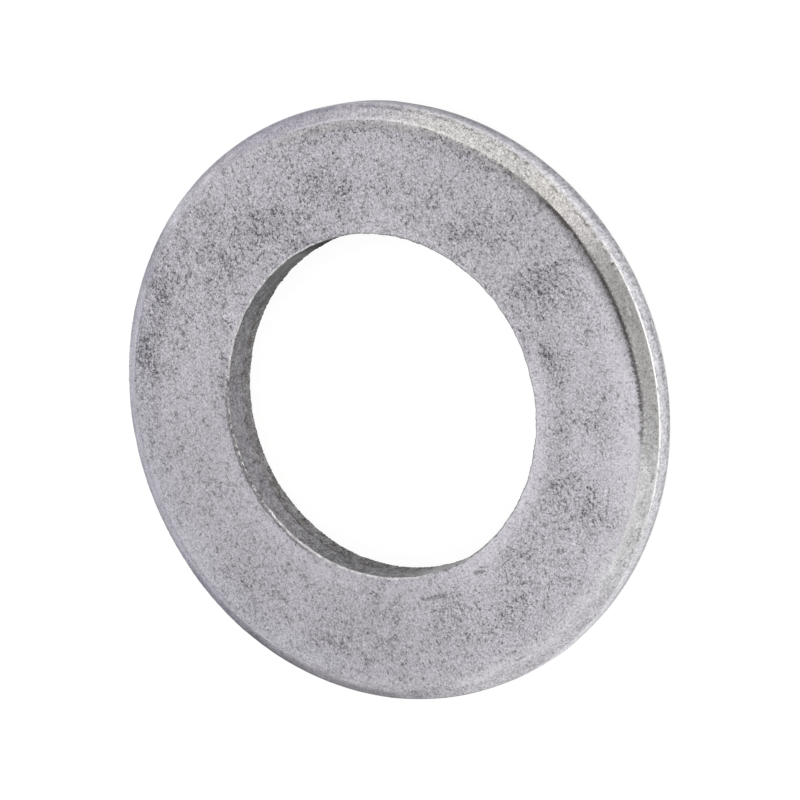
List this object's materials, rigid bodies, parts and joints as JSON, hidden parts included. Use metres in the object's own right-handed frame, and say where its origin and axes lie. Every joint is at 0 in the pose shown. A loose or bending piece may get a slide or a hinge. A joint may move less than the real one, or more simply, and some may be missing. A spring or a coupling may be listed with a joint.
{
  "type": "chamfered flat washer",
  "caption": "Round flat washer with a plain bore, a chamfered outer edge on its front face and a rolled-over outer edge at its back.",
  "frame": {"origin": "on the bore's axis, in the plane of the back face that the washer lies on", "axes": "+Z along the bore's axis, out of the chamfered front face; X and Y are equivalent, because the ring is round"},
  "size_m": [0.0368, 0.0368, 0.0028],
  "materials": {
    "tumbled_steel": "matt tumbled steel with fine dark speckle"
  },
  "bodies": {
    "root": {"washer": "tumbled_steel"}
  },
  "joints": []
}
